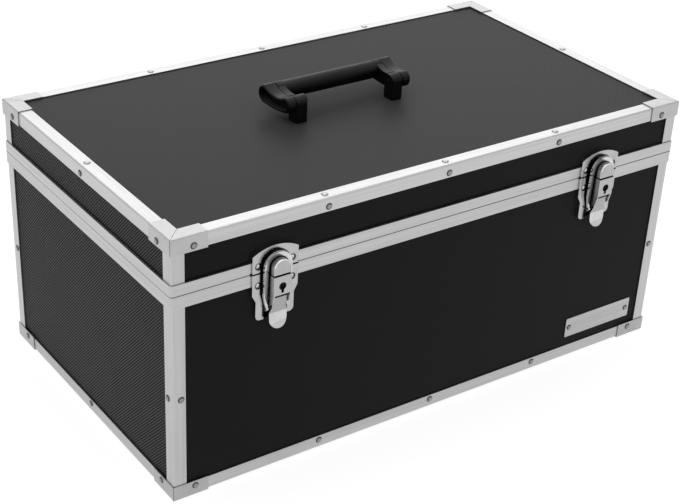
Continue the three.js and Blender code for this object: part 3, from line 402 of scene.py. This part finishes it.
def panel_material(name):
    """The laminate of one panel, with its ribs laid on the face that shows."""
    title = "laminate_" + name
    # The top, the fronts and backs, and the ends take different greys of one laminate: painted light and
    # shade for how the light falls on each side
    if "top" in name or "floor" in name:
        across = [(1, -1, 0), (1, 1, 0)]
        half = Vector((SHOWN_X, SHOWN_Y, PANEL_FAR))
        finish = {"specular": 0.05, "relief": 0.05, "dark": 0.047, "light": 0.054}
        return laminate(title, across, place(0, 0, 0), half, **finish)
    low, high = ANGLE_BOTTOM + ANGLE_LEG, BAND_BOTTOM
    if name.startswith("lid"):
        low, high = BAND_TOP + BAND_SHADE, ANGLE_TOP - ANGLE_LEG
    if "front" in name or "back" in name:
        across = [(1, 0, -1), (1, 0, 1)]
        middle = Vector((0, 0, (low + high) / 2 * MM))
        half = Vector((SHOWN_X, PANEL_FAR, (high - low) / 2 * MM))
        finish = {"specular": 0.07, "relief": 0.08, "dark": 0.009, "light": 0.013}
        return laminate(title, across, middle, half, **finish)
    if not name.startswith("lid"):
        low = low + END_FOOT_SHADE
    across = [(0, 1, 1), (0, 1, -1)]
    middle = Vector((0, SHIFT_Y * MM, (low + high) / 2 * MM))
    half = Vector((PANEL_FAR, SHOWN_Y, (high - low) / 2 * MM))
    finish = {"specular": 0.05, "relief": 1.0, "dark": 0.0, "light": 0.080, "crisp": 1.7}
    return laminate(title, across, middle, half, **finish)


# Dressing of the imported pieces

WELD_REACH = 0.02
LARGE_FACE_WEIGHT = 80


def dress(node, *materials):
    """Gives a piece its materials in place of the plain one it came with."""
    slots = node.data.materials
    slots.clear()
    for material in materials:
        slots.append(material)


def soften(node, width, segments=2, angle=35.0):
    """Rounds the sharp edges a little and shades the rest smoothly."""
    weld = node.modifiers.new("weld", "WELD")
    weld.merge_threshold = WELD_REACH * MM
    bevel = node.modifiers.new("bevel", "BEVEL")
    bevel.width = width * MM
    bevel.segments = segments
    bevel.limit_method = "ANGLE"
    bevel.angle_limit = math.radians(angle)
    bevel.harden_normals = False
    for polygon in node.data.polygons:
        polygon.use_smooth = True
    normals = node.modifiers.new("normals", "WEIGHTED_NORMAL")
    normals.keep_sharp = True
    normals.weight = LARGE_FACE_WEIGHT


# The slots of a latch piece. The first one, 0, holds the faces of the plates. The gaps and recesses take
# painted shade, the sides fade to it, and the bevels take a painted highlight.
SHADED_GAPS, SIDES, FRONTS, LIT_BEVELS, SHADED_RECESSES = range(1, 6)

# A latch in millimetres: depths count out from the front panel, and heights from the seam. The field leaves
# out the outer edges of the plates. The gaps, painted as shade, are the inside of the housing and the
# underside of the hook.
RECESS_DEPTH, FRONT_DEPTH, DEPTH_PLAY = 3.7, 14.0, 0.2
FIELD_HALF, FIELD_LOW, FIELD_HIGH = 20.0, -49.0, 24.5
GAP_HALF, GAP_LOW, GAP_HIGH = 8.6, -22.5, 1.5

# How far a face looks to the front, from 0 at a side to 1, and how far a bevel looks up to take the painted
# highlight
GAP_FACING, SIDE_FACING, FRONT_FACING = 0.6, 0.55, 0.9
BEVEL_UPWARD = 0.25


def shade_latch(node):
    """Gives a latch piece its faces, duller sides that fade to painted shade, painted highlights on the
    bevels that look up, and painted shade in gaps and on recess floors.
    """
    side = -1 if node.name.endswith("left") else 1
    for polygon in node.data.polygons:
        x = abs(polygon.center[0] / MM - side * LATCH_X)
        depth = SHIFT_Y - BOARD_Y - polygon.center[1] / MM
        rise = polygon.center[2] / MM - SEAM
        facing = -polygon.normal[1]
        within = x < FIELD_HALF and FIELD_LOW < rise < FIELD_HIGH and depth > RECESS_DEPTH - DEPTH_PLAY
        if x < GAP_HALF and facing < GAP_FACING and GAP_LOW < rise < GAP_HIGH:
            polygon.material_index = SHADED_GAPS
        elif facing > FRONT_FACING and abs(depth - RECESS_DEPTH) < DEPTH_PLAY:
            polygon.material_index = SHADED_RECESSES
        elif within and facing < SIDE_FACING:
            polygon.material_index = SIDES
        elif within and facing < FRONT_FACING:
            polygon.material_index = LIT_BEVELS if polygon.normal[2] > BEVEL_UPWARD else SIDES
        elif within and depth > FRONT_DEPTH:
            polygon.material_index = FRONTS


LEVER_SIDES, LEVER_SHADED_SLOPE = 1, 2
LEVER_FACING, SLOPE_DOWNWARD = 0.7, -0.12


def shade_lever(node):
    """Gives the lever a bright tab, a darker slope above it as painted shade, and duller sides that fade to
    painted shade.
    """
    for polygon in node.data.polygons:
        if -polygon.normal[1] < LEVER_FACING:
            polygon.material_index = LEVER_SIDES
        elif polygon.normal[2] < SLOPE_DOWNWARD:
            polygon.material_index = LEVER_SHADED_SLOPE


RIM_END_FACING = 0.7


def shade_rim(node):
    """Gives the ends of a rim the metal drawn along y, and the rest the metal drawn along x."""
    for polygon in node.data.polygons:
        polygon.material_index = 1 if abs(polygon.normal[0]) > RIM_END_FACING else 0


def bar_axis(name):
    if "upright" in name:
        return 2
    return 0 if name.endswith(("front", "back")) else 1


for name, node in nodes.items():
    if name.endswith("_panel"):
        dress(node, panel_material(name))
        soften(node, width=0.2)
    elif "upright" in name or "_edge_" in name:
        dress(node, (bottom_bars if name.startswith("bottom") else bars)[bar_axis(name)])
        soften(node, width=0.6, segments=3)
    elif "bracket" in name:
        dress(node, bracket_sheets[name.startswith("bottom")])
        soften(node, width=0.4, segments=3)
    elif name.endswith("_rim"):
        dress(node, *rims)
        shade_rim(node)
        soften(node, width=0.3)
    elif name == "name_plate":
        dress(node, plate_metal)
        soften(node, width=0.2)
    elif name.startswith("handle"):
        dress(node, handle_plastic)
        soften(node, width=0.5, segments=3, angle=30.0)
    elif name.startswith("lock_plug"):
        dress(node, plug_metal)
        soften(node, width=0.15)
    elif name.startswith("latch_lever"):
        dress(node, lever_plating, side_plating, slope_shade_plating)
        shade_lever(node)
        soften(node, width=0.3, segments=3)
    elif name.startswith("latch_bail"):
        dress(node, bail_plating)
        soften(node, width=0.8, segments=4)
    elif name.startswith("latch"):
        dress(node, plating, gap_shade_plating, side_plating, face_plating, highlight_plating, recess_shade_plating)
        shade_latch(node)
        soften(node, width=0.35, segments=4)
    else:
        dress(node, hinge_plating)
        soften(node, width=0.35, segments=3)


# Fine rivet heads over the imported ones, in millimetres

RIVET_RADIUS, PLATE_RIVET_RADIUS, RIVET_HEIGHT = 3.1, 2.8, 1.4
RIVET_FOOT, RIVET_SUNK, RIVET_PROUD = 0.5, 0.1, 0.08
RIVET_BLUNTNESS = 0.85
HEAD_SIDES, HEAD_RINGS = 28, 7
CROWN, FOOT, SKIRT = range(3)
FOOT_ROWS, SKIRT_ROWS = 2, 5


def ring(mesh, point, turn, radius, height):
    """One ring of points around a rivet head, at a height over the face that carries it."""
    made = []
    for i in range(HEAD_SIDES):
        angle = 2 * math.pi * i / HEAD_SIDES
        spot = Vector((radius * math.cos(angle), radius * math.sin(angle), height)) * MM
        made.append(mesh.verts.new(point + turn @ spot))
    return made


def row_finish(index):
    if index < FOOT_ROWS:
        return FOOT
    return SKIRT if index < SKIRT_ROWS else CROWN


def dome(name, spots, body, finishes, radius=RIVET_RADIUS):
    """Round rivet heads with a painted shade ring at the foot, each on a point and pointing out of its
    face.
    """
    mesh = bmesh.new()
    for point, outward in spots:
        turn = Vector((0, 0, 1)).rotation_difference(outward).to_matrix()
        rows = [
            ring(mesh, point, turn, radius + RIVET_FOOT, -RIVET_SUNK),
            ring(mesh, point, turn, radius + RIVET_FOOT, RIVET_PROUD),
        ]
        for step in range(HEAD_RINGS):
            lean = step / HEAD_RINGS * math.pi / 2
            width = radius * math.cos(lean) ** RIVET_BLUNTNESS
            rows.append(ring(mesh, point, turn, width, RIVET_PROUD + RIVET_HEIGHT * math.sin(lean)))
        crown = mesh.verts.new(point + turn @ (Vector((0, 0, RIVET_PROUD + RIVET_HEIGHT)) * MM))
        for index, (lower, upper) in enumerate(zip(rows, rows[1:])):
            for i in range(HEAD_SIDES):
                k = (i + 1) % HEAD_SIDES
                face = mesh.faces.new((lower[i], lower[k], upper[k], upper[i]))
                face.smooth = index >= FOOT_ROWS
                face.material_index = row_finish(index)
        for i in range(HEAD_SIDES):
            face = mesh.faces.new((rows[-1][i], rows[-1][(i + 1) % HEAD_SIDES], crown))
            face.smooth = True
    made = bpy.data.meshes.new(name)
    mesh.to_mesh(made)
    mesh.free()
    piece = bpy.data.objects.new(name, made)
    bpy.context.scene.collection.objects.link(piece)
    for material in finishes:
        made.materials.append(material)
    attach(piece, body)


base_spots, lid_spots, top_spots = [], [], []
upright_middle = (ANGLE_BOTTOM + ANGLE_LEG + BAND_BOTTOM) / 2
up = Vector((0, 0, 1))
lid_row, base_row = ANGLE_TOP - SIDE_RIVET_INSET, ANGLE_BOTTOM + SIDE_RIVET_INSET
top_x, top_y = ANGLE_X - TOP_RIVET_INSET, ANGLE_Y - TOP_RIVET_INSET
upright_x, upright_y = ANGLE_X - SIDE_RIVET_INSET, ANGLE_Y - SIDE_RIVET_INSET
bracket_x, bracket_y = BRACKET_X - BRACKET_RIVET_ALONG, BRACKET_Y - BRACKET_RIVET_ALONG
bracket_rows = ((lid_spots, CASE_TOP - BRACKET_RIVET_RISE), (base_spots, BRACKET_RIVET_RISE))
for side in (-1, 1):
    along_y = Vector((0, side, 0))
    along_x = Vector((side, 0, 0))
    for x in (-EDGE_RIVET_X, 0, EDGE_RIVET_X):
        lid_spots.append((place(x, side * ANGLE_Y, lid_row), along_y))
        top_spots.append((place(x, side * top_y, ANGLE_TOP), up))
        base_spots.append((place(x, side * ANGLE_Y, base_row), along_y))
    lid_spots.append((place(side * ANGLE_X, 0, lid_row), along_x))
    top_spots.append((place(side * top_x, 0, ANGLE_TOP), up))
    base_spots.append((place(side * ANGLE_X, 0, base_row), along_x))
    for other in (-1, 1):
        base_spots.append((place(other * upright_x, side * ANGLE_Y, upright_middle), along_y))
        base_spots.append((place(side * ANGLE_X, other * upright_y, upright_middle), along_x))
        for spots, level in bracket_rows:
            spots.append((place(other * bracket_x, side * BRACKET_Y, level), along_y))
            spots.append((place(side * BRACKET_X, other * bracket_y, level), along_x))
plate_face = -(BOARD_Y + PLATE_SHEET + FIT_GAP)
plate_spots = [
    (place(PLATE_X + reach, plate_face, PLATE_Z), Vector((0, -1, 0)))
    for reach in (-PLATE_RIVET_REACH, PLATE_RIVET_REACH)
]
dome("lid_rivet_heads", lid_spots, "lid", upright_rivets)
dome("lid_top_rivet_heads", top_spots, "lid", flat_rivets)
dome("base_rivet_heads", base_spots, "base", upright_rivets)
dome("name_plate_rivet_heads", plate_spots, "base", upright_rivets, PLATE_RIVET_RADIUS)


# Floor, world and lamps, in metres and watts

FLOOR_REACH, FLOOR_DROP = 7.0, 0.0001
FLOOR_GREY, FLOOR_GLOW = 0.50, 0.77

# The world's strength as the camera sees it, as the metal mirrors it, and as light
WORLD_SHOWN, WORLD_MIRRORED, WORLD_LIGHT = 1.0, 0.9, 0.5


def pale_floor():
    """A wide floor that glows to the eye and in mirrors, and only gives back light elsewhere."""
    s = shader("studio_floor")
    path = s.node("ShaderNodeLightPath").outputs
    seen = s.math("MAXIMUM", path["Is Camera Ray"], path["Is Glossy Ray"])
    seen = s.math("MAXIMUM", seen, path["Is Transmission Ray"])
    strength = s.math("MULTIPLY", seen, FLOOR_GLOW)
    matt = s.node("ShaderNodeBsdfDiffuse", {"Color": grey(FLOOR_GREY)})
    glow = s.node("ShaderNodeEmission", {"Color": grey(1.0), "Strength": strength})
    s.finish(s.node("ShaderNodeAddShader", {0: matt.outputs[0], 1: glow.outputs[0]}))
    mesh = bpy.data.meshes.new("studio_floor")
    corners = [(FLOOR_REACH * x, FLOOR_REACH * y, 0) for x, y in ((-1, -1), (1, -1), (1, 1), (-1, 1))]
    mesh.from_pydata(corners, [], [(0, 1, 2, 3)])
    mesh.materials.append(s.holder)
    floor = bpy.data.objects.new("studio_floor", mesh)
    floor.location.z = -FLOOR_DROP
    bpy.context.scene.collection.objects.link(floor)


def studio_world():
    """A white world, less bright in mirrors and dimmer still as light."""
    world = bpy.data.worlds.new("studio")
    bpy.context.scene.world = world
    s = Nodes(world, "ShaderNodeOutputWorld")
    path = s.node("ShaderNodeLightPath").outputs
    mirrored = s.math("MAXIMUM", path["Is Glossy Ray"], path["Is Transmission Ray"])
    strength = s.math("MULTIPLY", mirrored, WORLD_MIRRORED - WORLD_LIGHT)
    strength = s.math("ADD", strength, WORLD_LIGHT)
    shown = s.math("MULTIPLY", path["Is Camera Ray"], WORLD_SHOWN - WORLD_LIGHT)
    strength = s.math("ADD", strength, shown)
    s.finish(s.node("ShaderNodeBackground", {"Color": grey(1.0), "Strength": strength}))


def softbox(name, location, target, size, power):
    data = bpy.data.lights.new(name, "AREA")
    data.shape = "RECTANGLE"
    data.size, data.size_y = size
    data.energy = power
    lamp = bpy.data.objects.new(name, data)
    lamp.location = location
    aim = Vector(target) - Vector(location)
    lamp.rotation_euler = aim.to_track_quat("-Z", "Y").to_euler()
    bpy.context.scene.collection.objects.link(lamp)


pale_floor()
studio_world()
softbox("overhead_softbox", location=(-0.4, 0.1, 2.6), target=(0, 0, 0.1), size=(3.0, 2.4), power=17.0)
softbox("back_softbox", location=(1.6, 2.4, 1.9), target=(0, 0, 0.2), size=(2.6, 1.6), power=16.0)


# Camera: yaw, pitch and roll in degrees, place, lens and sensor in millimetres, and the picture's
# shift in widths of the sensor

CAMERA_TURN = (-35.21, 30.91, 2.45)
CAMERA_PLACE = (-897.9, -1238.7, 955.6)
CAMERA_LENS, SENSOR_WIDTH = 80.88, 36.0
CAMERA_SHIFT = (0.0290, 0.0731)


def camera():
    yaw, pitch, roll = (math.radians(angle) for angle in CAMERA_TURN)
    level = math.cos(pitch)
    forward = Vector((-math.sin(yaw) * level, math.cos(yaw) * level, -math.sin(pitch)))
    right = Vector((math.cos(yaw), math.sin(yaw), 0))
    above = right.cross(forward)
    right_rolled = right * math.cos(roll) + above * math.sin(roll)
    above_rolled = above * math.cos(roll) - right * math.sin(roll)
    data = bpy.data.cameras.new("camera")
    data.sensor_fit = "HORIZONTAL"
    data.sensor_width = SENSOR_WIDTH
    data.lens = CAMERA_LENS
    data.shift_x, data.shift_y = CAMERA_SHIFT
    made = bpy.data.objects.new("camera", data)
    turn = Matrix((right_rolled, above_rolled, -forward)).transposed()
    made.matrix_world = Matrix.Translation(place(*CAMERA_PLACE)) @ turn.to_4x4()
    bpy.context.scene.collection.objects.link(made)
    bpy.context.scene.camera = made


camera()
bpy.context.scene.view_settings.view_transform = "Standard"
